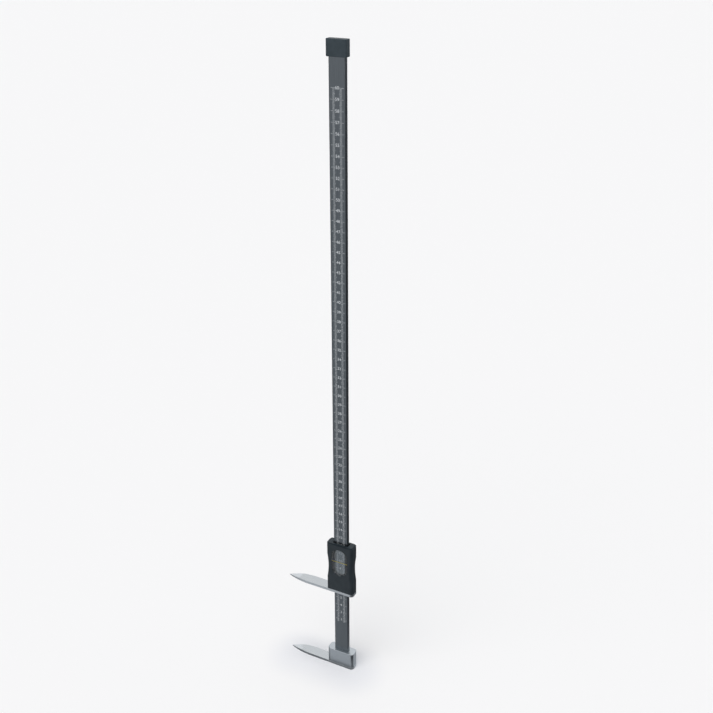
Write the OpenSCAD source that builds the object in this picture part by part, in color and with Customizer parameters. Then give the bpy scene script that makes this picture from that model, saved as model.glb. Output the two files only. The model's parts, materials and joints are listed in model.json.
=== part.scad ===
// Segmometer: a graduated ruler with a fixed lower jaw and a sliding upper jaw, for body segment lengths.
// The origin is on the underside of the lower jaw, under the middle of the ruler.
// The ruler rises along +Z, the jaws reach along -X, and the graduated face looks along -Y.

/* [Ruler] */
// Width of the ruler bar
ruler_w = 16.8; // [13:0.1:18]
// Thickness of the ruler bar
ruler_t = 4.2; // [3.4:0.1:5]
// Rounding of the long edges of the bar
ruler_edge_r = 0.9; // [0.2:0.1:1]
// Longest length on the scale
scale_len = 600; // [400:10:800]
// Bare bar between the last graduation and the cap
ruler_blank = 26; // [15:1:60]

/* [Jaws] */
// Thickness of both jaw plates
jaw_t = 3; // [2.5:0.1:4]
// Depth of both jaw plates, front to back
jaw_depth = 12; // [10.6:0.1:13]
// Distance of the jaw tips from the middle of the ruler
jaw_reach = 65.5; // [55:0.5:90]
// Distance of the tip behind the front edge
tip_setback = 5; // [1:0.1:7]
// Length of the curved stretch of the front edge
front_curve = 27; // [12:0.5:30]
// Length of the curved stretch of the back edge
back_curve = 30; // [12:0.5:35]
// Length of the sloped facet over the tip
bevel_len = 15.5; // [6:0.5:25]
// Thickness left at the tip
tip_t = 1; // [0.6:0.1:2]

/* [Bodies] */
// Width of the slider body and of the base block
body_w = 31.8; // [28.6:0.1:34]
// Step from the edges of the jaws in to the body and the block
side_step = 0.1; // [0.05:0.05:0.3]
// Rounding of the upright corners of the body and the block
corner_r = 3.5; // [2.4:0.1:3.5]
// Height of the base block above the lower jaw
block_h = 18; // [13:1:30]
// Rounding of the block's top edge
block_edge_r = 0.4; // [0.2:0.1:0.9]
// Height of the slider body above its jaw
body_h = 60.5; // [56:0.5:68]
// Rounding of the body's top edge
body_edge_r = 1; // [0.5:0.1:2.3]
// Thickness of the body's walls above and below the guides
end_wall = 2.5; // [1.5:0.1:3]
// Depth of the finger recess in each side
grip_depth = 1.3; // [0.6:0.1:1.8]
// Height of the finger recesses
grip_h = 29; // [20:1:36]
// Rounding of the body's corners within the recesses
grip_corner_r = 3.7; // [3.6:0.1:5]
// Gap left between the two shell halves
parting_gap = 0.06; // [0.02:0.01:0.2]

/* [Positions] */
// Reading at rest, from the upper face of the lower jaw to the lower face of the upper jaw
rest_reading = 99; // [30:1:300]
// Height of the reading line above the upper jaw's lower face
line_rise = 41; // [40:0.5:43]

/* [Window] */
// Margin of the ruler that the window's opening hides on each side
window_margin = 2.3; // [0:0.1:2.5]
// Height of the window's opening
window_h = 32; // [24:0.5:34]
// Distance of the window's opening below the top of the body
window_top = 6.5; // [6:0.5:10]
// Width of the ledge that the lens rests on, beside the window's opening
lens_ledge = 3.5; // [1.5:0.25:3.75]
// Width of that ledge above and below the opening
lens_end_ledge = 0.8; // [0.5:0.1:1.3]
// Thickness of the lens
lens_t = 2.2; // [1.2:0.1:2.5]
// Clearance around the lens
lens_gap = 0.05; // [0.02:0.01:0.15]
// Bevel round the front edge of the lens
lens_bevel = 0.3; // [0.1:0.1:0.6]
// Height of the reading line
line_h = 0.8; // [0.4:0.1:1.5]
// Depth of the groove in the lens's back that holds the reading line
line_depth = 0.25; // [0.1:0.05:0.5]

/* [Guides] */
// Open gap around the ruler in the slider's slot
slot_gap = 0.4; // [0.2:0.05:0.6]
// Open gap around the ruler in the body's top and bottom walls
mouth_gap = 0.8; // [0.4:0.1:1]
// Running clearance between the guides and the ruler
run_gap = 0.05; // [0.02:0.01:0.1]
// Thickness of the front and rear glide pads
pad_t = 0.9; // [0.7:0.05:1.1]
// Margin between the pads and the ruler's edges
pad_margin = 1.75; // [1.5:0.25:3]
// Wall between the window's opening and the pads
pad_land = 1; // [1:0.1:2]
// Height of the lower front pad and of both rear pads
lower_pad_h = 15; // [8:0.5:17]
// Diameter of the pegs that locate the pads
peg_d = 1.6; // [1:0.1:1.8]
// Length of the pegs
peg_len = 0.8; // [0.4:0.1:1]
// Thickness of the edge glide and the brake shoe
edge_t = 1.2; // [0.9:0.1:1.4]
// Depth of the edge glide and the brake shoe, front to back
edge_depth = 3.6; // [2.5:0.1:4]
// Length of the brake shoe
shoe_len = 18; // [12:1:24]
// Length of the leaf spring behind the shoe
spring_len = 28; // [20:1:32]
// Thickness of the leaf spring
spring_t = 0.3; // [0.2:0.05:0.4]
// Bow of the leaf spring
spring_bow = 0.8; // [0.5:0.1:0.9]
// Clearance around each guide in its pocket
pocket_gap = 0.05; // [0.02:0.01:0.12]

/* [Base] */
// Clearance between the ruler and its socket, each side
socket_gap = 0.05; // [0.02:0.01:0.15]
// Thread diameter of the base screws
base_screw_d = 3; // [2.5:0.1:3.2]
// Head diameter of the base screws
base_head_d = 5.4; // [4.6:0.1:5.6]
// Length of the base screws
base_screw_len = 12; // [8:0.5:14]
// Diameter of the set screws behind the ruler
set_screw_d = 3; // [2:0.1:4]
// Distance of the set screws in from the ruler's edges
set_screw_inset = 3.5; // [2.5:0.1:4]

/* [Cap] */
// Thickness of the cap's walls beside the ruler's edges
cap_side = 1.65; // [1.6:0.05:3]
// Thickness of the cap's walls before and behind the ruler
cap_face = 1.7; // [1.3:0.05:3]
// Height of the end cap
cap_h = 15; // [10:1:25]
// Thickness of the cap over the ruler's end
cap_roof = 2.5; // [1.5:0.1:5]
// Rounding of the cap's upright corners
cap_corner_r = 1.2; // [0.8:0.1:1.6]
// Rounding of the cap's top and bottom edges
cap_edge_r = 0.6; // [0.3:0.1:0.7]

/* [Slider fasteners] */
// Thread diameter of the jaw screws
jaw_screw_d = 2; // [1.6:0.1:2.2]
// Head diameter of the jaw screws
jaw_head_d = 3.8; // [3.2:0.1:4]
// Length of the jaw screws
jaw_screw_len = 8; // [6:0.5:9]
// Distance of the jaw screws from the middle plane, front to back
jaw_screw_y = 2.7; // [2.4:0.1:3]
// Thread diameter of the shell screws
shell_screw_d = 2; // [1.6:0.1:2.2]
// Head diameter of the shell screws
shell_head_d = 3.4; // [3:0.1:3.8]
// Height of the shell screws' heads
shell_head_h = 1.5; // [1:0.1:2]
// Distance of the shell screws from the top and bottom of the body
shell_screw_inset = 9.5; // [9.3:0.1:10.5]
// Wall between the shell screws and the guides
shell_screw_wall = 0.6; // [0.4:0.1:1]
// Thickness of the front shell left over the shell screws' ends
front_skin = 1.8; // [1.2:0.1:2.5]
// Depth that each screw head lies under its surface
screw_sink = 0.2; // [0.1:0.05:0.4]
// Clearance around threads and heads
thread_gap = 0.05; // [0.02:0.01:0.1]

/* [Hidden] */
$fn = 64;

// Length that a cutter runs past the surface it opens
past = 1;
// Size of a block that stands for all the space on one side of a plane
far = 400;

// Width of each screw's hexagon key as a share of its thread
key_share = 0.6;

// Heights, from the underside of the lower jaw
scale_zero = jaw_t + line_rise;
cap_bottom = scale_zero + scale_len + ruler_blank;
ruler_top = cap_bottom + cap_h - cap_roof;
upper_jaw_z = jaw_t + rest_reading;
body_z = upper_jaw_z + jaw_t;
line_z = upper_jaw_z + line_rise;
grip_z = body_z + body_h / 2;

// Jaw outline: each curved edge is an arc that leaves its straight edge smoothly and ends at the tip
front_arc_r = (pow(front_curve, 2) + pow(tip_setback, 2)) / (2 * tip_setback);
tip_run_back = jaw_depth - tip_setback;
back_arc_r = (pow(back_curve, 2) + pow(tip_run_back, 2)) / (2 * tip_run_back);
jaw_heel = body_w / 2 + side_step;

// Body and block share one plan
body_depth = jaw_depth - 2 * side_step;
body_y = body_depth / 2;

// Finger recess: radius of the arc with this height and depth
grip_r = (pow(grip_h / 2, 2) + pow(grip_depth, 2)) / (2 * grip_depth);

// Ruler's socket in the block and the cap
socket_w = ruler_w + 2 * socket_gap;
socket_depth = ruler_t + 2 * socket_gap;
cap_w = socket_w + 2 * cap_side;
cap_depth = socket_depth + 2 * cap_face;

// Slot for the ruler through the slider, and the planes that the guides rest against
slot_w = ruler_w + 2 * slot_gap;
slot_depth = ruler_t + 2 * slot_gap;
mouth_w = ruler_w + 2 * mouth_gap;
mouth_depth = ruler_t + 2 * mouth_gap;
pad_w = ruler_w - 2 * pad_margin;
pad_face = ruler_t / 2 + run_gap;
pad_seat = pad_face + pad_t;
edge_face = ruler_w / 2 + run_gap;
edge_seat = edge_face + edge_t;
spring_seat = edge_seat + spring_bow + spring_t;
guide_low = body_z + end_wall;
guide_high = body_z + body_h - end_wall;

// Window and lens
window_z = body_z + body_h - window_top - window_h / 2;
window_w = ruler_w - 2 * window_margin;
lens_w = window_w + 2 * lens_ledge;
lens_h = window_h + 2 * lens_end_ledge;
lens_back = -body_y + lens_t;

// Lowest and highest point of each pad
front_upper = [window_z + window_h / 2 + pad_land, guide_high];
front_lower = [guide_low, guide_low + lower_pad_h];
rear_upper = [guide_high - lower_pad_h, guide_high];
rear_lower = [guide_low, guide_low + lower_pad_h];

// Fastener places
base_screw_x = (ruler_w + body_w) / 4;
set_screw_x = ruler_w / 2 - set_screw_inset;
set_screw_z = jaw_t + block_h / 2;
set_screw_len = body_y - ruler_t / 2 - screw_sink;
jaw_screw_x = (slot_w + body_w) / 4;
shell_screw_x = edge_seat + pocket_gap + shell_screw_wall + shell_screw_d / 2 + thread_gap;
shell_screw_z = [body_z + shell_screw_inset, body_z + body_h - shell_screw_inset];
shell_screw_end = body_y - front_skin;

module rounded_rect(w, d, r) {
    square([w - 2 * r, d], center = true);
    square([w, d - 2 * r], center = true);
    for (x = [-1, 1], y = [-1, 1]) translate([x * (w / 2 - r), y * (d / 2 - r)]) circle(r);
}

// Upright slot outline with round ends, in a plane of constant Y
module stadium(w, h) {
    square([w, h - w], center = true);
    for (s = [-1, 1]) translate([0, s * (h - w) / 2]) circle(w / 2);
}

// Solid that stands in the X-Z plane and runs back from y
module upright(y, run) {
    translate([0, y + run, 0]) rotate([90, 0, 0]) linear_extrude(run) children();
}

// Upright block with round corners and a round top edge
module soft_top_block(w, d, h, r, edge) {
    linear_extrude(h - edge) rounded_rect(w, d, r);
    linear_extrude(h) rounded_rect(w - 2 * edge, d - 2 * edge, r - edge);
    for (s = [-1, 1]) {
        translate([-w / 2 + r, s * (d / 2 - edge), h - edge]) rotate([0, 90, 0])
            cylinder(h = w - 2 * r, r = edge);
        translate([s * (w / 2 - edge), d / 2 - r, h - edge]) rotate([90, 0, 0])
            cylinder(h = d - 2 * r, r = edge);
    }
    for (x = [-1, 1], y = [-1, 1]) translate([x * (w / 2 - r), y * (d / 2 - r), h - edge])
        rotate_extrude() intersection() {
            union() {
                translate([0, -edge]) square([r - edge, 2 * edge]);
                translate([r - edge, 0]) circle(edge);
            }
            translate([0, -edge]) square([r, 2 * edge]);
        }
}

// Countersunk screw that points up from its head's flat face
module countersunk_screw(d, head_d, len) {
    head_h = (head_d - d) / 2;
    difference() {
        union() {
            cylinder(h = head_h, r1 = head_d / 2, r2 = d / 2);
            cylinder(h = len, r = d / 2);
        }
        translate([0, 0, -past]) cylinder(h = past + head_h, r = key_share * d / 2, $fn = 6);
    }
}

// Hole for such a screw, cut into a plate whose lower face is at z = 0
module countersunk_hole(d, head_d, depth) {
    head_h = (head_d - d) / 2;
    translate([0, 0, -past]) cylinder(h = past + screw_sink, r = head_d / 2 + thread_gap);
    translate([0, 0, screw_sink])
        cylinder(h = head_h, r1 = head_d / 2 + thread_gap, r2 = d / 2 + thread_gap);
    cylinder(h = depth, r = d / 2 + thread_gap);
}

// Outline of both jaws, seen from above
module jaw_outline() {
    front = -jaw_depth / 2;
    back = jaw_depth / 2;
    intersection() {
        union() {
            translate([front_curve - jaw_reach, front + front_arc_r]) circle(front_arc_r, $fn = 256);
            translate([front_curve - jaw_reach, front]) square([far, jaw_depth]);
        }
        union() {
            translate([back_curve - jaw_reach, back - back_arc_r]) circle(back_arc_r, $fn = 256);
            translate([back_curve - jaw_reach, front]) square([far, jaw_depth]);
        }
        translate([jaw_heel - far / 2, 0]) rounded_rect(far, jaw_depth, corner_r + side_step);
    }
}

module jaw_plate() {
    difference() {
        linear_extrude(jaw_t) jaw_outline();
        upright(-jaw_depth, 2 * jaw_depth) polygon([
            [-jaw_reach + bevel_len, jaw_t],
            [-jaw_reach, tip_t],
            [-jaw_reach - past, tip_t],
            [-jaw_reach - past, jaw_t + past],
            [-jaw_reach + bevel_len, jaw_t + past]
        ]);
    }
}

module ruler() {
    color("dimgray") translate([0, 0, jaw_t])
        linear_extrude(ruler_top - jaw_t) rounded_rect(ruler_w, ruler_t, ruler_edge_r);
}

module top_cap() {
    half = cap_h / 2;
    color([0.23, 0.25, 0.27]) difference() {
        translate([0, 0, cap_bottom + half]) {
            soft_top_block(cap_w, cap_depth, half, cap_corner_r, cap_edge_r);
            mirror([0, 0, 1]) soft_top_block(cap_w, cap_depth, half, cap_corner_r, cap_edge_r);
        }
        translate([0, 0, cap_bottom - past]) linear_extrude(cap_h - cap_roof + past)
            rounded_rect(socket_w, socket_depth, ruler_edge_r);
    }
}

module base_block() {
    color([0.62, 0.65, 0.68]) difference() {
        translate([0, 0, jaw_t]) soft_top_block(body_w, body_depth, block_h, corner_r, block_edge_r);
        translate([0, 0, jaw_t - past]) linear_extrude(block_h + 2 * past)
            rounded_rect(socket_w, socket_depth, ruler_edge_r);
        for (s = [-1, 1]) translate([s * base_screw_x, 0, 0])
            cylinder(h = base_screw_len + 2 * screw_sink, r = base_screw_d / 2 + thread_gap);
        for (s = [-1, 1]) translate([s * set_screw_x, body_depth, set_screw_z]) rotate([90, 0, 0])
            cylinder(h = body_depth, r = set_screw_d / 2 + thread_gap);
    }
}

module base_jaw() {
    color("silver") difference() {
        jaw_plate();
        for (s = [-1, 1]) translate([s * base_screw_x, 0, 0])
            countersunk_hole(base_screw_d, base_head_d, jaw_t + past);
    }
}

module base_screws() {
    color("gray") for (s = [-1, 1]) translate([s * base_screw_x, 0, screw_sink])
        countersunk_screw(base_screw_d, base_head_d, base_screw_len);
}

module ruler_set_screws() {
    color("dimgray") for (s = [-1, 1]) translate([s * set_screw_x, ruler_t / 2, set_screw_z])
        rotate([-90, 0, 0]) difference() {
            cylinder(h = set_screw_len, r = set_screw_d / 2);
            translate([0, 0, set_screw_len / 2])
                cylinder(h = set_screw_len, r = key_share * set_screw_d / 2, $fn = 6);
        }
}

// Outer form of the slider, before it is split and hollowed
module slider_form() {
    arc_centre = body_w / 2 - grip_depth + grip_r;
    corner_y = body_y - grip_corner_r;
    difference() {
        translate([0, 0, body_z]) soft_top_block(body_w, body_depth, body_h, corner_r, body_edge_r);
        for (s = [-1, 1]) translate([s * arc_centre, 0, grip_z]) rotate([90, 0, 0])
            rotate_extrude($fn = 256) {
                translate([0, -body_y - past]) square([grip_r, body_depth + 2 * past]);
                for (t = [0, 1]) mirror([0, t]) difference() {
                    translate([grip_r - past, corner_y]) square(grip_corner_r + past);
                    translate([grip_r + grip_corner_r, corner_y]) circle(grip_corner_r);
                }
            }
    }
}

// Pocket for a pad on the front (side = -1) or rear (side = 1) of the slot, with its peg holes
module pad_pocket(side, low, high) {
    gap = pocket_gap;
    translate([-pad_w / 2 - gap, side > 0 ? 0 : -pad_seat, low - gap])
        cube([pad_w + 2 * gap, pad_seat, high - low + 2 * gap]);
    pad_pegs(side, low, high, peg_d / 2 + gap, peg_len + gap);
}

module pad_pegs(side, low, high, r, len) {
    for (x = [-1, 1]) translate([x * pad_w / 3, side * pad_face, (low + high) / 2])
        rotate([-side * 90, 0, 0]) cylinder(h = pad_t + len, r = r);
}

// Slot, guide pockets and jaw screw holes, shared by both shells
module slider_hollow() {
    gap = pocket_gap;
    y = edge_depth / 2 + gap;
    translate([0, 0, body_z - past]) linear_extrude(body_h + 2 * past)
        square([slot_w, slot_depth], center = true);
    for (z = [body_z - past, guide_high]) translate([0, 0, z]) linear_extrude(end_wall + past)
        square([mouth_w, mouth_depth], center = true);
    translate([0, -y, guide_low - gap]) cube([edge_seat, 2 * y, guide_high - guide_low + 2 * gap]);
    translate([-edge_seat, -y, grip_z - shoe_len / 2 - gap]) cube([edge_seat, 2 * y, shoe_len + 2 * gap]);
    translate([-spring_seat, -y, grip_z - spring_len / 2 - gap])
        cube([spring_seat - edge_seat + gap, 2 * y, spring_len + 2 * gap]);
    for (x = [-1, 1], s = [-1, 1]) translate([x * jaw_screw_x, s * jaw_screw_y, body_z - past])
        cylinder(h = jaw_screw_len - jaw_t + past + 2 * screw_sink, r = jaw_screw_d / 2 + thread_gap);
}

module slider_front_shell() {
    color([0.21, 0.23, 0.25]) difference() {
        slider_form();
        translate([-far / 2, -parting_gap / 2, 0]) cube([far, far, far]);
        slider_hollow();
        pad_pocket(-1, front_upper[0], front_upper[1]);
        pad_pocket(-1, front_lower[0], front_lower[1]);
        translate([0, 0, window_z]) {
            upright(-body_y - past, lens_t + past) stadium(lens_w + 2 * lens_gap, lens_h + 2 * lens_gap);
            upright(-body_y, body_y) stadium(window_w, window_h);
        }
        for (x = [-1, 1], z = shell_screw_z) translate([x * shell_screw_x, 0, z]) rotate([90, 0, 0])
            cylinder(h = shell_screw_end + screw_sink, r = shell_screw_d / 2 + thread_gap);
    }
}

module slider_rear_shell() {
    head_r = shell_head_d / 2 + thread_gap;
    color([0.21, 0.23, 0.25]) difference() {
        slider_form();
        translate([-far / 2, parting_gap / 2 - far, 0]) cube([far, far, far]);
        slider_hollow();
        pad_pocket(1, rear_upper[0], rear_upper[1]);
        pad_pocket(1, rear_lower[0], rear_lower[1]);
        for (x = [-1, 1], z = shell_screw_z) translate([x * shell_screw_x, body_y, z]) rotate([90, 0, 0]) {
            cylinder(h = body_depth, r = shell_screw_d / 2 + thread_gap);
            translate([0, 0, -past]) cylinder(h = shell_head_h + screw_sink + past, r = head_r);
        }
    }
}

module window_lens() {
    r = lens_w / 2;
    straight = lens_h - lens_w;
    color([0.75, 0.8, 0.85, 0.35]) difference() {
        translate([0, 0, window_z]) {
            upright(-body_y + lens_bevel, lens_t - lens_bevel) stadium(lens_w, lens_h);
            for (s = [-1, 1]) translate([0, -body_y + lens_bevel, s * straight / 2])
                rotate([90, 0, 0]) cylinder(h = lens_bevel, r1 = r, r2 = r - lens_bevel);
            translate([0, -body_y, 0]) linear_extrude(straight, center = true) polygon([
                [-r, lens_bevel], [-r + lens_bevel, 0], [r - lens_bevel, 0], [r, lens_bevel]
            ]);
        }
        translate([-far / 2, lens_back - line_depth, line_z - line_h / 2])
            cube([far, line_depth + past, line_h]);
    }
}

module index_line() {
    color("gold") translate([-lens_w / 2 + lens_bevel, lens_back - line_depth, line_z - line_h / 2])
        cube([lens_w - 2 * lens_bevel, line_depth, line_h]);
}

module slider_jaw() {
    color("silver") translate([0, 0, upper_jaw_z]) difference() {
        jaw_plate();
        translate([0, 0, -past]) linear_extrude(jaw_t + 2 * past)
            square([slot_w, slot_depth], center = true);
        for (x = [-1, 1], s = [-1, 1]) translate([x * jaw_screw_x, s * jaw_screw_y, 0])
            countersunk_hole(jaw_screw_d, jaw_head_d, jaw_t + past);
    }
}

module jaw_screws() {
    color("gray") for (x = [-1, 1], s = [-1, 1])
        translate([x * jaw_screw_x, s * jaw_screw_y, upper_jaw_z + screw_sink])
            countersunk_screw(jaw_screw_d, jaw_head_d, jaw_screw_len);
}

module shell_screws() {
    color("gray") for (x = [-1, 1], z = shell_screw_z)
        translate([x * shell_screw_x, body_y - screw_sink, z]) rotate([90, 0, 0]) difference() {
            union() {
                cylinder(h = shell_head_h, r = shell_head_d / 2);
                cylinder(h = body_y - screw_sink + shell_screw_end, r = shell_screw_d / 2);
            }
            translate([0, 0, -past])
                cylinder(h = past + shell_head_h * key_share, r = key_share * shell_screw_d / 2, $fn = 6);
        }
}

// Pad on the front (side = -1) or rear (side = 1) of the slot
module glide_pad(side, low, high) {
    color("ivory") {
        translate([-pad_w / 2, side > 0 ? pad_face : -pad_seat, low]) cube([pad_w, pad_t, high - low]);
        pad_pegs(side, low, high, peg_d / 2, peg_len);
    }
}

module front_glide_upper() { glide_pad(-1, front_upper[0], front_upper[1]); }
module front_glide_lower() { glide_pad(-1, front_lower[0], front_lower[1]); }
module rear_glide_upper() { glide_pad(1, rear_upper[0], rear_upper[1]); }
module rear_glide_lower() { glide_pad(1, rear_lower[0], rear_lower[1]); }

module edge_glide() {
    color("ivory") translate([edge_face, -edge_depth / 2, guide_low])
        cube([edge_t, edge_depth, guide_high - guide_low]);
}

module brake_shoe() {
    color("saddlebrown") translate([-edge_seat, -edge_depth / 2, grip_z - shoe_len / 2])
        cube([edge_t, edge_depth, shoe_len]);
}

// Bowed leaf: its middle presses on the shoe, its ends on the shell
module brake_spring() {
    r = (pow(spring_len / 2, 2) + pow(spring_bow, 2)) / (2 * spring_bow);
    color("lightsteelblue") translate([-edge_seat - r, 0, grip_z]) intersection() {
        upright(-edge_depth / 2, edge_depth) difference() {
            circle(r, $fn = 512);
            circle(r - spring_t, $fn = 512);
        }
        translate([0, -edge_depth, -spring_len / 2]) cube([2 * r, 2 * edge_depth, spring_len]);
    }
}

ruler();
top_cap();
base_block();
base_jaw();
base_screws();
ruler_set_screws();
slider_front_shell();
slider_rear_shell();
window_lens();
index_line();
slider_jaw();
jaw_screws();
shell_screws();
front_glide_upper();
front_glide_lower();
rear_glide_upper();
rear_glide_lower();
edge_glide();
brake_shoe();
brake_spring();
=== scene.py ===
import json
import math

import bmesh
import bpy
import numpy as np
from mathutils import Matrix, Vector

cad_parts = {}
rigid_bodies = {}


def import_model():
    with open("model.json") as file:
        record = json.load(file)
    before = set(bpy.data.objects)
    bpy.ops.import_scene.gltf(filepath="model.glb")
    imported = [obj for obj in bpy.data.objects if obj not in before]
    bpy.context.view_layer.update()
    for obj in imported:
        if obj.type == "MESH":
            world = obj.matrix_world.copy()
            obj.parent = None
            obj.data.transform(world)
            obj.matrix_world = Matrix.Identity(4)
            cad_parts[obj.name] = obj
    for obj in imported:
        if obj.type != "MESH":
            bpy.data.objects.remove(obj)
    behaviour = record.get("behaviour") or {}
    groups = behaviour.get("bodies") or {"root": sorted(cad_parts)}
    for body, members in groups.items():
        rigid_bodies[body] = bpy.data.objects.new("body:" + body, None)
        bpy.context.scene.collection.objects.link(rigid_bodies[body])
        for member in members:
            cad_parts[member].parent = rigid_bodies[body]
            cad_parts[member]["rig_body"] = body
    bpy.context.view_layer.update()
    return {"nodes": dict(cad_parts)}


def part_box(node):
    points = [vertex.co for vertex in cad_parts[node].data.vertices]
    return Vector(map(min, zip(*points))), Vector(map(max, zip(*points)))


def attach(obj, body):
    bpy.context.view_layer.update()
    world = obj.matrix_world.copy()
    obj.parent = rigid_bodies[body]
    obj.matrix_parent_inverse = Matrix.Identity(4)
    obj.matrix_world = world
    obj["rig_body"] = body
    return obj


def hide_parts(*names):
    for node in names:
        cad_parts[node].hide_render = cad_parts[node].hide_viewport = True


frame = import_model()
mm = 0.001


# Helpers: colours, nodes, materials and meshes

def linear(hexColour):
    channels = [int(hexColour[i:i + 2], 16) / 255 for i in (0, 2, 4)]
    return [c / 12.92 if c <= 0.04045 else ((c + 0.055) / 1.055) ** 2.4 for c in channels] + [1.0]


# An input gets either a socket, which is linked to it, or a value. Stops are a ramp's places and colours.
def addNode(tree, kind, wires=None, stops=(), **settings):
    node = tree.nodes.new(kind)
    for key, value in settings.items():
        setattr(node, key, value)
    for socket, source in (wires or {}).items():
        if isinstance(source, bpy.types.NodeSocket):
            tree.links.new(source, node.inputs[socket])
        else:
            node.inputs[socket].default_value = source
    for count, (place, hexColour) in enumerate(stops):
        elements = node.color_ramp.elements
        element = elements[count] if count < len(elements) else elements.new(place)
        element.position = place
        element.color = linear(hexColour)
    return node


def newMaterial(name):
    material = bpy.data.materials.new(name)
    material.use_nodes = True
    material.node_tree.nodes.clear()
    return material


# A finish is made from one or two patterns, fine and broad: noise on Object coordinates, stretched until one
# unit of it is so many millimetres along each axis. Either one steers the tint, and the roughness over the
# middle half of its range. The fine one raises the relief.
def coat(name, finish):
    material = newMaterial(name)
    tree = material.node_tree
    place = addNode(tree, "ShaderNodeTexCoord").outputs["Object"]
    patterns = {}
    for pattern in ("fine", "broad"):
        if pattern in finish:
            sizesMm, detail = finish[pattern]
            stretched = addNode(tree, "ShaderNodeMapping", {
                "Vector": place, "Scale": [1 / (size * mm) for size in sizesMm]})
            noise = addNode(tree, "ShaderNodeTexNoise", {
                "Vector": stretched.outputs["Vector"], "Scale": 1.0, "Detail": detail}, name=pattern)
            patterns[pattern] = noise.outputs["Fac"]
    steering, stops = finish["tint"]
    tint = addNode(tree, "ShaderNodeValToRGB", {"Fac": patterns[steering]}, stops, name="tint")
    steering, smooth, rough = finish["roughness"]
    roughness = addNode(tree, "ShaderNodeMapRange", {
        "Value": patterns[steering], "From Min": 0.25, "From Max": 0.75, "To Min": smooth, "To Max": rough},
        name="roughness")
    relief = addNode(tree, "ShaderNodeBump", {
        "Height": patterns["fine"], "Distance": finish["reliefMm"] * mm})
    skin = addNode(tree, "ShaderNodeBsdfPrincipled", {
        "Base Color": tint.outputs["Color"], "Roughness": roughness.outputs["Result"],
        "Normal": relief.outputs["Normal"], **finish.get("shader", {})}, name="skin")
    addNode(tree, "ShaderNodeOutputMaterial", {"Surface": skin.outputs[0]}, name="surface")
    return material


# A CAD node's loose triangles, joined into one clean mesh with smooth curves and small rounded edges

cleaning = {"mergeMm": 0.002, "flatDegrees": 0.4, "sharpDegrees": 32, "roundSegments": 2}


def dressed(name, material, roundMm):
    node = frame["nodes"][name]
    sharp = math.radians(cleaning["sharpDegrees"])
    mesh = bpy.data.meshes.new(name + "_dressed")
    work = bmesh.new()
    work.from_mesh(node.data)
    bmesh.ops.remove_doubles(work, verts=work.verts, dist=cleaning["mergeMm"] * mm)
    bmesh.ops.dissolve_limit(work, angle_limit=math.radians(cleaning["flatDegrees"]),
                             verts=work.verts, edges=work.edges)
    for face in work.faces:
        face.smooth = True
    for edge in work.edges:
        edge.smooth = len(edge.link_faces) == 2 and edge.calc_face_angle(0.0) < sharp
    work.to_mesh(mesh)
    work.free()
    mesh.materials.append(material)
    piece = bpy.data.objects.new(name + "_piece", mesh)
    bpy.context.scene.collection.objects.link(piece)
    if roundMm:
        edgeRound = piece.modifiers.new("edges", "BEVEL")
        edgeRound.width = roundMm * mm
        edgeRound.segments = cleaning["roundSegments"]
        edgeRound.limit_method = "ANGLE"
        edgeRound.angle_limit = sharp
        edgeRound.harden_normals = True
        edgeRound.use_clamp_overlap = True
        weighted = piece.modifiers.new("normals", "WEIGHTED_NORMAL")
        weighted.keep_sharp = True
    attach(piece, node["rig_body"])
    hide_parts(name)
    return piece


# Camera: its place and turn come from where the printed scale's marks lie in the photograph

view = {"lensMm": 50, "sensorMm": 36, "place": (0.4131, -0.7729, 0.7973), "downDegrees": 25.12,
        "turnDegrees": 27.08, "farthest": 50}

cameraData = bpy.data.cameras.new("camera")
cameraData.lens = view["lensMm"]
cameraData.sensor_width = view["sensorMm"]
cameraData.clip_end = view["farthest"]
camera = bpy.data.objects.new("camera", cameraData)
camera.location = view["place"]
camera.rotation_euler = (math.radians(90 - view["downDegrees"]), 0, math.radians(view["turnDegrees"]))
bpy.context.scene.collection.objects.link(camera)
bpy.context.scene.camera = camera


# Surroundings: pale to look at, with a softer light on matt surfaces. Reflections also show a black card on
# the left, which gives the block its dark left corner.

surroundings = {"light": 0.42, "lightColour": "f0f5ff", "pale": 0.93, "cardTowards": (-0.9, 0.04, 0.43),
                "cardEdge": (0.78, 0.88), "darkReflectionTone": "303234"}

bpy.context.scene.view_settings.view_transform = "Standard"
world = bpy.data.worlds.new("studio")
bpy.context.scene.world = world
world.use_nodes = True
tree = world.node_tree
tree.nodes.clear()
rays = addNode(tree, "ShaderNodeLightPath").outputs
light = addNode(tree, "ShaderNodeBackground", {
    "Color": linear(surroundings["lightColour"]), "Strength": surroundings["light"]})
pale = addNode(tree, "ShaderNodeBackground", {"Color": linear("ffffff"), "Strength": surroundings["pale"]})
card = addNode(tree, "ShaderNodeBackground", {"Color": linear(surroundings["darkReflectionTone"]), "Strength": 1.0})
seen = addNode(tree, "ShaderNodeMath", {0: rays["Is Camera Ray"], 1: rays["Is Glossy Ray"]},
               operation="MAXIMUM")
seen = addNode(tree, "ShaderNodeMath", {0: seen.outputs[0], 1: rays["Is Transmission Ray"]},
               operation="MAXIMUM")
mixed = addNode(tree, "ShaderNodeMixShader", {0: seen.outputs[0], 1: light.outputs[0], 2: pale.outputs[0]})
heading = addNode(tree, "ShaderNodeTexCoord").outputs["Generated"]
toCard = addNode(tree, "ShaderNodeVectorMath", {0: heading, 1: surroundings["cardTowards"]},
                 operation="DOT_PRODUCT")
carded = addNode(tree, "ShaderNodeMapRange", {
    "Value": toCard.outputs["Value"], "From Min": surroundings["cardEdge"][0],
    "From Max": surroundings["cardEdge"][1]}, interpolation_type="SMOOTHSTEP")
carded = addNode(tree, "ShaderNodeMath", {0: carded.outputs[0], 1: rays["Is Glossy Ray"]},
                 operation="MULTIPLY")
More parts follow.
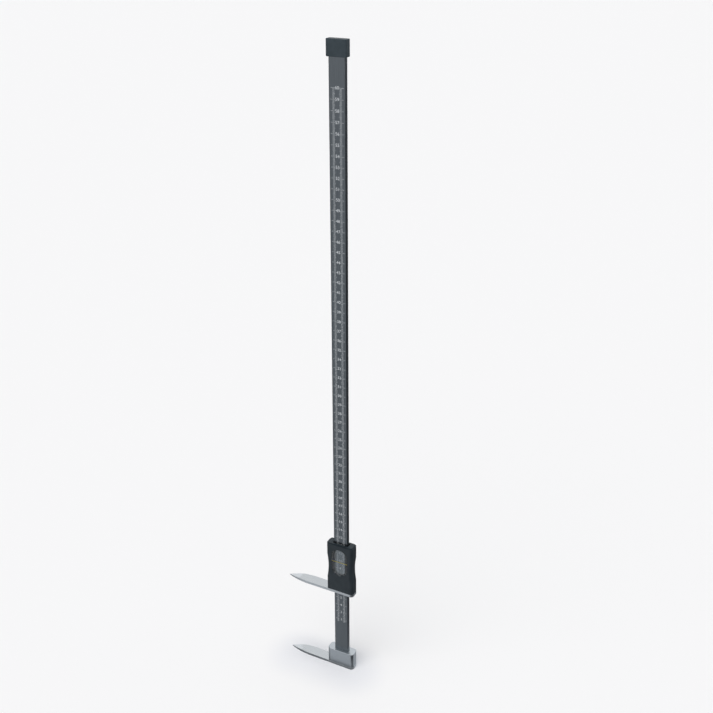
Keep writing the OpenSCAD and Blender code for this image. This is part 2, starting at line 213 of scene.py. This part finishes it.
mixed = addNode(tree, "ShaderNodeMixShader", {0: carded.outputs[0], 1: mixed.outputs[0], 2: card.outputs[0]})
addNode(tree, "ShaderNodeOutputWorld", {"Surface": mixed.outputs[0]})


# Lamps: a soft one from the front and a softbox overhead, which gloss doesn't show

lamps = {"front_lamp": {"power": 0.95, "colour": "fdfaf5", "widthDegrees": 50, "tiltDegrees": (38, -10, 0)},
         "overhead_softbox": {"power": 1.3, "colour": "fdfaf5", "widthDegrees": 22, "tiltDegrees": (2, 0, 0)}}

for name, settings in lamps.items():
    lampData = bpy.data.lights.new(name, "SUN")
    lampData.energy = settings["power"]
    lampData.color = linear(settings["colour"])[:3]
    lampData.angle = math.radians(settings["widthDegrees"])
    lamp = bpy.data.objects.new(name, lampData)
    lamp.rotation_euler = [math.radians(angle) for angle in settings["tiltDegrees"]]
    lamp.visible_glossy = False
    bpy.context.scene.collection.objects.link(lamp)


# Floor: a white paper sweep, with painted shade round the foot, greyer and bluer, where the shade of the jaws
# gathers.
# Reflections see it painted grey, with painted dark zones in place of black cards to both sides and behind,
# and a painted shade line under the base jaw's edge, so the metal gets its dark corners. Towards is a dark
# zone's direction on the floor, and edge is where it fades in.

sweep = {"radius": 14.0, "sunkMm": 0.02, "tone": "f7f7f7",
         "paintedShadeTone": "ecedf0", "shadeX": (-50, 14), "shadeY": -8, "shadeMm": (8, 50),
         "greyTone": "bcbec0", "darkReflectionTone": "303234",
         "sideTowards": (0.891, -0.454, 0), "sideMiddleMm": -24, "sideHalfMm": 39, "sideNearMm": 5,
         "sideEdge": (0.15, 0.5),
         "backTowards": (0.454, 0.891, 0), "backEdge": (0.2, 0.6), "backStrength": 0.82, "backMm": (30, 120),
         "footY": -6, "footMm": (4, 6.2), "footStrength": 0.8}

turn = np.linspace(0, 2 * np.pi, 129)[:-1]
rimX, rimY = sweep["radius"] * np.cos(turn), sweep["radius"] * np.sin(turn)
rim = np.stack([rimX, rimY, np.full_like(turn, -sweep["sunkMm"] * mm)], 1)
floorMesh = bpy.data.meshes.new("floor")
floorMesh.from_pydata(rim.tolist(), [], [list(range(len(turn)))])
floor = bpy.data.objects.new("floor", floorMesh)
bpy.context.scene.collection.objects.link(floor)

paper = newMaterial("white_paper_sweep")
tree = paper.node_tree
rays = addNode(tree, "ShaderNodeLightPath").outputs
place = addNode(tree, "ShaderNodeNewGeometry").outputs["Position"]
parts = addNode(tree, "ShaderNodeSeparateXYZ", {0: place}).outputs
level = addNode(tree, "ShaderNodeVectorMath", {0: place, 1: (1, 1, 0)}, operation="MULTIPLY").outputs[0]
howFar = addNode(tree, "ShaderNodeVectorMath", {0: level}, operation="LENGTH").outputs["Value"]

# Side zones, painted dark for reflections in place of cards: how far a point lies beyond the strip's edge,
# over its distance from the object
across = addNode(tree, "ShaderNodeVectorMath", {0: level, 1: sweep["sideTowards"]}, operation="DOT_PRODUCT")
beyond = addNode(tree, "ShaderNodeMath", {0: across.outputs["Value"], 1: sweep["sideMiddleMm"] * mm},
                 operation="SUBTRACT")
beyond = addNode(tree, "ShaderNodeMath", {0: beyond.outputs[0]}, operation="ABSOLUTE")
beyond = addNode(tree, "ShaderNodeMath", {0: beyond.outputs[0], 1: sweep["sideHalfMm"] * mm},
                 operation="SUBTRACT")
reach = addNode(tree, "ShaderNodeMath", {0: howFar, 1: sweep["sideNearMm"] * mm}, operation="ADD")
beyond = addNode(tree, "ShaderNodeMath", {0: beyond.outputs[0], 1: reach.outputs[0]}, operation="DIVIDE")
side = addNode(tree, "ShaderNodeMapRange", {
    "Value": beyond.outputs[0], "From Min": sweep["sideEdge"][0], "From Max": sweep["sideEdge"][1]},
    interpolation_type="SMOOTHSTEP")

# Back zone, painted dark for reflections in place of a card: a wedge of directions, from some way behind the
# object
away = addNode(tree, "ShaderNodeVectorMath", {0: level}, operation="NORMALIZE").outputs["Vector"]
toBack = addNode(tree, "ShaderNodeVectorMath", {0: away, 1: sweep["backTowards"]}, operation="DOT_PRODUCT")
back = addNode(tree, "ShaderNodeMapRange", {
    "Value": toBack.outputs["Value"], "From Min": sweep["backEdge"][0], "From Max": sweep["backEdge"][1],
    "To Max": sweep["backStrength"]}, interpolation_type="SMOOTHSTEP")
far = addNode(tree, "ShaderNodeMapRange", {
    "Value": howFar, "From Min": sweep["backMm"][0] * mm, "From Max": sweep["backMm"][1] * mm},
    interpolation_type="SMOOTHSTEP")
back = addNode(tree, "ShaderNodeMath", {0: back.outputs[0], 1: far.outputs[0]}, operation="MULTIPLY")

# Foot: a painted shade line on the floor in front of the base jaw's edge, seen only in reflections, which the
# edge shows
before = addNode(tree, "ShaderNodeMath", {0: parts["Y"], 1: sweep["footY"] * mm}, operation="SUBTRACT")
before = addNode(tree, "ShaderNodeMath", {0: before.outputs[0]}, operation="ABSOLUTE")
foot = addNode(tree, "ShaderNodeMapRange", {
    "Value": before.outputs[0], "From Min": sweep["footMm"][0] * mm, "From Max": sweep["footMm"][1] * mm,
    "To Min": sweep["footStrength"], "To Max": 0.0})

dark = addNode(tree, "ShaderNodeMath", {0: side.outputs[0], 1: back.outputs[0]}, operation="MAXIMUM")
dark = addNode(tree, "ShaderNodeMath", {0: dark.outputs[0], 1: foot.outputs[0]}, operation="MAXIMUM")
# Painted reflection: the floor's tone as glossy rays see it, grey with the painted dark zones and shade line
paintedReflectionTone = addNode(tree, "ShaderNodeMix", {
    "Factor": dark.outputs[0], "A": linear(sweep["greyTone"]), "B": linear(sweep["darkReflectionTone"])},
    data_type="RGBA")

# Painted shade: the distance from a line under the jaws, on the floor
underX = addNode(tree, "ShaderNodeClamp", {
    "Value": parts["X"], "Min": sweep["shadeX"][0] * mm, "Max": sweep["shadeX"][1] * mm})
gapX = addNode(tree, "ShaderNodeMath", {0: parts["X"], 1: underX.outputs[0]}, operation="SUBTRACT")
gapY = addNode(tree, "ShaderNodeMath", {0: parts["Y"], 1: sweep["shadeY"] * mm}, operation="SUBTRACT")
gap = addNode(tree, "ShaderNodeCombineXYZ", {"X": gapX.outputs[0], "Y": gapY.outputs[0]})
gap = addNode(tree, "ShaderNodeVectorMath", {0: gap.outputs[0]}, operation="LENGTH")
shade = addNode(tree, "ShaderNodeMapRange", {
    "Value": gap.outputs["Value"], "From Min": sweep["shadeMm"][0] * mm, "From Max": sweep["shadeMm"][1] * mm,
    "To Min": 1.0, "To Max": 0.0}, interpolation_type="SMOOTHSTEP")
# The paper's tone, with the painted shade mixed in round the foot
paperWithPaintedShade = addNode(tree, "ShaderNodeMix", {
    "Factor": shade.outputs[0], "A": linear(sweep["tone"]), "B": linear(sweep["paintedShadeTone"])},
    data_type="RGBA")

# Glossy rays see the painted reflection tone, all other rays the paper
tone = addNode(tree, "ShaderNodeMix", {
    "Factor": rays["Is Glossy Ray"], "A": paperWithPaintedShade.outputs["Result"], "B": paintedReflectionTone.outputs["Result"]},
    data_type="RGBA")
diffuse = addNode(tree, "ShaderNodeBsdfDiffuse", {"Color": tone.outputs["Result"]})
addNode(tree, "ShaderNodeOutputMaterial", {"Surface": diffuse.outputs[0]})
floorMesh.materials.append(paper)
print("stage: camera, floor and lights are in place")


# Materials. In each one, fine and broad are (millimetres along x, y and z, detail), tint is the pattern that
# steers it with the stops of its colours, and roughness is the pattern with the lowest and highest value.

# Dark grey hard-anodised aluminium bar: a fine drawn grain along its length, satin, so its edges go dark
anodised = coat("dark_anodised_aluminium", {
    "fine": ((0.25, 0.25, 14.0), 3), "broad": ((9.0, 9.0, 40.0), 2),
    "tint": ("fine", [(0.3, "71777c"), (0.7, "7c8287")]), "roughness": ("broad", 0.3, 0.36),
    "reliefMm": 0.004, "shader": {"Metallic": 1.0}})

# Moulded end cap: dark grey plastic with a fine eroded texture that scatters the light evenly
capPlastic = coat("grey_moulded_plastic", {
    "fine": ((0.35, 0.35, 0.35), 2), "broad": ((6.0, 6.0, 6.0), 2),
    "tint": ("broad", [(0.3, "353f45"), (0.7, "3d474d")]), "roughness": ("fine", 0.42, 0.56),
    "reliefMm": 0.02, "shader": {"Specular IOR Level": 0.25}})

# Slider housing: near black moulded plastic, fine texture, soft gloss
shellPlastic = coat("black_moulded_plastic", {
    "fine": ((0.3, 0.3, 0.3), 2), "broad": ((7.0, 7.0, 7.0), 2),
    "tint": ("broad", [(0.3, "222b31"), (0.7, "293238")]), "roughness": ("fine", 0.4, 0.54),
    "reliefMm": 0.018, "shader": {"Specular IOR Level": 0.36}})

# Block: bead-blasted, clear anodised aluminium, an even silvery satin
satin = coat("blasted_aluminium", {
    "fine": ((0.22, 0.22, 0.22), 2), "broad": ((5.0, 5.0, 5.0), 2),
    "tint": ("broad", [(0.3, "c3cad0"), (0.7, "c6cdd3")]), "roughness": ("fine", 0.29, 0.38),
    "reliefMm": 0.006, "shader": {"Metallic": 1.0}})

# Countersunk screws: plain stainless, turned, brighter than the jaw they sit in
screwSteel = coat("turned_stainless_steel", {
    "fine": ((0.15, 0.15, 2.0), 3), "tint": ("fine", [(0.3, "babdc0"), (0.7, "cdd0d2")]),
    "roughness": ("fine", 0.2, 0.32), "reliefMm": 0.004, "shader": {"Metallic": 1.0}})

# Housing and set screws: black oxide on steel, worn a little to grey
blackSteel = coat("black_oxide_steel", {
    "fine": ((0.6, 0.6, 0.6), 3), "tint": ("fine", [(0.35, "2a2a2c"), (0.62, "38383a"), (0.75, "5c5c5e")]),
    "roughness": ("fine", 0.36, 0.5), "reliefMm": 0.006, "shader": {"Metallic": 1.0}})

# Reading line: yellow enamel run into a groove, glossy, slightly deeper where it is thick
enamel = coat("yellow_enamel", {
    "fine": ((1.5, 0.6, 0.6), 2), "tint": ("fine", [(0.3, "f2da14"), (0.7, "fae61e")]),
    "roughness": ("fine", 0.2, 0.3), "reliefMm": 0.01})

# Printed scale: pale grey ink, matt, a little uneven
ink = coat("pale_grey_ink", {
    "fine": ((0.5, 0.5, 0.5), 2), "tint": ("fine", [(0.3, "d2d6d9"), (0.7, "e2e6e8")]),
    "roughness": ("fine", 0.5, 0.65), "reliefMm": 0.004})

# Guide pads: machined acetal, waxy off-white with fine cutter marks
acetal = coat("machined_acetal", {
    "fine": ((0.2, 3.0, 3.0), 3), "tint": ("fine", [(0.3, "e2dfd4"), (0.7, "ece9df")]),
    "roughness": ("fine", 0.34, 0.46), "reliefMm": 0.006,
    "shader": {"Subsurface Weight": 0.15, "Subsurface Scale": 0.001}})

# Brake shoe: oil-filled nylon, brown, dull
nylon = coat("oiled_nylon", {
    "fine": ((0.3, 2.0, 0.3), 3), "tint": ("fine", [(0.3, "5e4630"), (0.7, "6c5138")]),
    "roughness": ("fine", 0.4, 0.52), "reliefMm": 0.008})

# Leaf spring: rolled blue-grey strip with faint lines along it
rolledStrip = coat("rolled_spring_steel", {
    "fine": ((0.1, 0.1, 6.0), 3), "tint": ("fine", [(0.3, "8e96a2"), (0.7, "a0a8b2")]),
    "roughness": ("fine", 0.2, 0.3), "reliefMm": 0.002, "shader": {"Metallic": 1.0}})

# Jaws: stainless steel, fine ground along their length, which draws the reflections out across the jaw
jawSteel = {
    "fine": ((18.0, 0.12, 0.12), 3), "broad": ((12.0, 4.0, 4.0), 2),
    "tint": ("fine", [(0.3, "c4c9cd"), (0.7, "d0d5d9")]), "roughness": ("broad", 0.24, 0.34),
    "reliefMm": 0.003, "shader": {"Metallic": 1.0},
    # The brighter tint below is a painted highlight for the facet and the cut edges
    "paintedHighlightTint": [(0.3, "d6dce1"), (0.7, "e2e7eb")], "edgeRougher": 0.2,
    "facetNormalX": (-0.05, -0.11), "edgeNormalZ": (0.96, 0.6)}
ground = coat("ground_stainless_steel", jawSteel)

# The facet over the tip, which leans towards -X, and the cut edges, which face sideways, get a painted
# highlight: a brighter tint chosen by which way the surface faces. The cut edges are also rougher
tree = ground.node_tree
made = tree.nodes
facing = addNode(tree, "ShaderNodeSeparateXYZ", {0: addNode(tree, "ShaderNodeTexCoord").outputs["Normal"]})
facet = addNode(tree, "ShaderNodeMapRange", {
    "Value": facing.outputs["X"], "From Min": jawSteel["facetNormalX"][0],
    "From Max": jawSteel["facetNormalX"][1], "To Min": 0.0, "To Max": 1.0})
upward = addNode(tree, "ShaderNodeMath", {0: facing.outputs["Z"]}, operation="ABSOLUTE")
edge = addNode(tree, "ShaderNodeMapRange", {
    "Value": upward.outputs[0], "From Min": jawSteel["edgeNormalZ"][0],
    "From Max": jawSteel["edgeNormalZ"][1], "To Min": 0.0, "To Max": 1.0})
# Painted highlight: how much of the brighter tint the facet and the cut edges get
paintedHighlight = addNode(tree, "ShaderNodeMath", {0: facet.outputs[0], 1: edge.outputs[0]}, operation="MAXIMUM")
paintedHighlightTint = addNode(tree, "ShaderNodeValToRGB", {"Fac": made["fine"].outputs["Fac"]}, jawSteel["paintedHighlightTint"])
tint = addNode(tree, "ShaderNodeMix", {
    "Factor": paintedHighlight.outputs[0], "A": made["tint"].outputs["Color"], "B": paintedHighlightTint.outputs["Color"]},
    data_type="RGBA")
rougher = addNode(tree, "ShaderNodeMath", {
    0: edge.outputs[0], 1: jawSteel["edgeRougher"], 2: made["roughness"].outputs["Result"]},
    operation="MULTIPLY_ADD")
tree.links.new(tint.outputs["Result"], made["skin"].inputs["Base Color"])
tree.links.new(rougher.outputs[0], made["skin"].inputs["Roughness"])

# Window: polished clear acrylic with a faint cool tint and haze; lamps shine through it
clearAcrylic = {
    "fine": ((4.0, 4.0, 4.0), 1), "tint": ("fine", [(0.3, "ebf2f6"), (0.7, "f1f6f9")]),
    "roughness": ("fine", 0.03, 0.06), "reliefMm": 0.002,
    "shader": {"Transmission Weight": 0.96, "IOR": 1.49}, "letsThrough": "e8ecee"}
acrylic = coat("clear_acrylic", clearAcrylic)
tree = acrylic.node_tree
made = tree.nodes
shadowRay = addNode(tree, "ShaderNodeLightPath").outputs["Is Shadow Ray"]
clear = addNode(tree, "ShaderNodeBsdfTransparent", {"Color": linear(clearAcrylic["letsThrough"])})
through = addNode(tree, "ShaderNodeMixShader", {
    0: shadowRay, 1: made["skin"].outputs[0], 2: clear.outputs[0]})
tree.links.new(through.outputs[0], made["surface"].inputs["Surface"])
print("stage: materials are made")


# CAD nodes with their finishes: each one's material and the rounding of its edges in millimetres

finishes = {
    "ruler": (anodised, 0.0), "top_cap": (capPlastic, 0.15), "base_block": (satin, 0.2),
    "base_jaw": (ground, 0.3), "base_screws": (screwSteel, 0.06), "ruler_set_screws": (blackSteel, 0.06),
    "slider_front_shell": (shellPlastic, 0.12), "slider_rear_shell": (shellPlastic, 0.12),
    "window_lens": (acrylic, 0.0), "index_line": (enamel, 0.05), "slider_jaw": (ground, 0.3),
    "jaw_screws": (screwSteel, 0.06), "shell_screws": (blackSteel, 0.06),
    "front_glide_upper": (acetal, 0.08), "front_glide_lower": (acetal, 0.08),
    "rear_glide_upper": (acetal, 0.08), "rear_glide_lower": (acetal, 0.08), "edge_glide": (acetal, 0.08),
    "brake_shoe": (nylon, 0.08), "brake_spring": (rolledStrip, 0.0)}
for name, (material, roundMm) in finishes.items():
    dressed(name, material, roundMm)
print("stage: CAD nodes are dressed")


# Printed scale on the ruler's front: a column of marks on each side and the centimetre numbers between them.
# Inner and outer are where a mark starts and ends, measured from the ruler's middle.

scale = {"zeroMm": 44.0, "firstCm": 1.7, "lastCm": 60, "proudMm": 0.03, "sinkMm": 0.02, "inkMm": 0.2,
         "innerMm": 2.6, "innerHalfCmMm": 2.1, "outerMm": 4.7, "outerCmMm": 6.5,
         "digitMm": 3.0, "sizePerDigit": 1.38, "curveSteps": 3}
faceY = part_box("ruler")[0].y / mm


# Each row (left, right, lower, upper) becomes a thin block of ink: its four corners a little in front of the
# ruler's face, the same four a little behind it, joined by a front and four sides
def inkBlocks(rows):
    rows = np.asarray(rows, float)
    x = rows[:, [0, 1, 1, 0]]
    z = rows[:, [2, 2, 3, 3]]
    front = np.stack([x, np.full_like(x, faceY - scale["proudMm"]), z], 2)
    back = np.stack([x, np.full_like(x, faceY + scale["sinkMm"]), z], 2)
    points = np.concatenate([front, back], 1).reshape(-1, 3)
    corners = np.array([[0, 1, 2, 3], [0, 4, 5, 1], [1, 5, 6, 2], [2, 6, 7, 3], [3, 7, 4, 0]])
    faces = (corners[None] + 8 * np.arange(len(rows))[:, None, None]).reshape(-1, 4)
    return points * mm, faces


# Printed pieces ride with the ruler and take the ink finish
def printed(name, points, faces):
    mesh = bpy.data.meshes.new(name)
    mesh.from_pydata(points.tolist(), [], faces)
    mesh.materials.append(ink)
    piece = bpy.data.objects.new(name, mesh)
    bpy.context.scene.collection.objects.link(piece)
    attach(piece, "ruler_frame")


marks = []
for step in range(int(scale["firstCm"] * 10), scale["lastCm"] * 10 + 1):
    z = scale["zeroMm"] + step
    outer = scale["outerCmMm"] if step % 10 == 0 else scale["outerMm"]
    inner = scale["innerHalfCmMm"] if step % 5 == 0 else scale["innerMm"]
    for column in (-1, 1):
        ends = sorted((column * inner, column * outer))
        marks.append([ends[0], ends[1], z - scale["inkMm"] / 2, z + scale["inkMm"] / 2])
points, faces = inkBlocks(marks)
printed("scale_marks", points, faces.tolist())

# A number starts as flat text, is made a mesh, and is stood up against the ruler's face at its mark
numberPoints, numberFaces = [], []
for cm in range(2, scale["lastCm"] + 1):
    curve = bpy.data.curves.new("number", "FONT")
    curve.body = str(cm)
    curve.size = scale["digitMm"] * scale["sizePerDigit"]
    curve.align_x = "CENTER"
    curve.align_y = "CENTER"
    curve.resolution_u = scale["curveSteps"]
    curve.extrude = (scale["proudMm"] + scale["sinkMm"]) / 2
    holder = bpy.data.objects.new("number", curve)
    bpy.context.scene.collection.objects.link(holder)
    shape = holder.evaluated_get(bpy.context.evaluated_depsgraph_get()).to_mesh()
    flat = np.zeros(len(shape.vertices) * 3)
    shape.vertices.foreach_get("co", flat)
    flat = flat.reshape(-1, 3)
    middleY = faceY - (scale["proudMm"] - scale["sinkMm"]) / 2
    markZ = scale["zeroMm"] + cm * 10
    start = sum(len(p) for p in numberPoints)
    numberPoints.append(np.stack([flat[:, 0], middleY - flat[:, 2], flat[:, 1] + markZ], 1) * mm)
    numberFaces += [[start + i for i in polygon.vertices] for polygon in shape.polygons]
    bpy.data.objects.remove(holder)
    bpy.data.curves.remove(curve)
printed("scale_numbers", np.concatenate(numberPoints), numberFaces)
print("stage: the scale is printed,", len(marks), "marks and", len(numberFaces), "faces of numbers")
